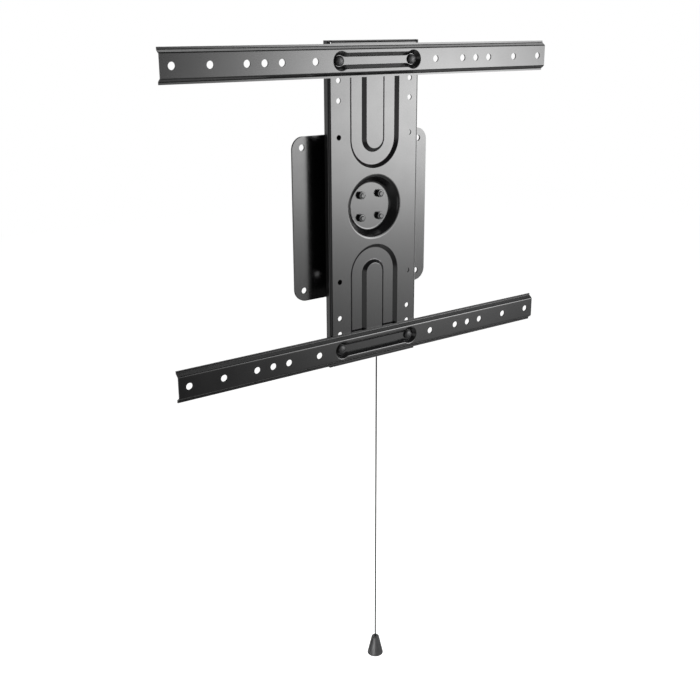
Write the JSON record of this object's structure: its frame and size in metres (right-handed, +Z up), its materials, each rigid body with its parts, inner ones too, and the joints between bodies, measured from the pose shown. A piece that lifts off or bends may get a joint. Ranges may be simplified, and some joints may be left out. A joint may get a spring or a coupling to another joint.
{
  "type": "tv wall mount",
  "caption": "Low wall mount for a flat screen: a folded wall bracket, a stamped plate that turns between landscape and portrait, drilled cross rails, and a pull cord that frees the lock.",
  "frame": {"origin": "middle of the four wall holes, on the wall plane", "axes": "+X to the right along the rails, +Y into the wall, +Z up; the turning axis is parallel to Y, 13.5 mm above the origin"},
  "size_m": [0.63, 0.0406, 0.9753],
  "materials": {
    "black_coat": "satin powder coat",
    "black_steel": "black zinc, semi-gloss",
    "zinc_steel": "zinc plated",
    "nylon": "natural nylon",
    "cord": "braided",
    "pull_plastic": "satin"
  },
  "bodies": {
    "wall_side": {"wall_bracket": "black_coat", "pivot_bush": "nylon", "front_friction_washer": "nylon", "rear_friction_washer": "nylon", "guide_rivets": "zinc_steel", "guide_spacers": "zinc_steel", "spring_stop": "zinc_steel", "lock_spring": "zinc_steel"},
    "turning_side": {"swivel_plate": "black_coat", "upper_rail": "black_coat", "lower_rail": "black_coat", "upper_rail_bolts": "black_steel", "upper_rail_washers": "black_steel", "upper_rail_nuts": "black_steel", "lower_rail_bolts": "black_steel", "lower_rail_washers": "black_steel", "lower_rail_nuts": "black_steel", "hub_disc": "zinc_steel", "hub_studs": "black_steel", "hub_nuts": "black_steel", "pivot_spindle": "zinc_steel", "keeper_washer": "zinc_steel", "spindle_nut": "zinc_steel"},
    "lock": {"lock_slide": "zinc_steel", "cord_loop": "cord", "pull_cord": "cord", "cord_end_knot": "cord", "pull_cone": "pull_plastic"}
  },
  "joints": [
    {"name": "turn", "type": "hinge", "parent": "wall_side", "child": "turning_side", "pos_m": [0, -0.018, 0.0135], "axis": [0, 1, 0], "continuous": true},
    {"name": "lock_slide", "type": "slide", "parent": "wall_side", "child": "lock", "axis": [0, 0, 1], "range_m": [0, 0.0048], "stiffness_N_per_m": 150, "springref_m": 0.015, "deforming": ["lock_spring"]}
  ]
}
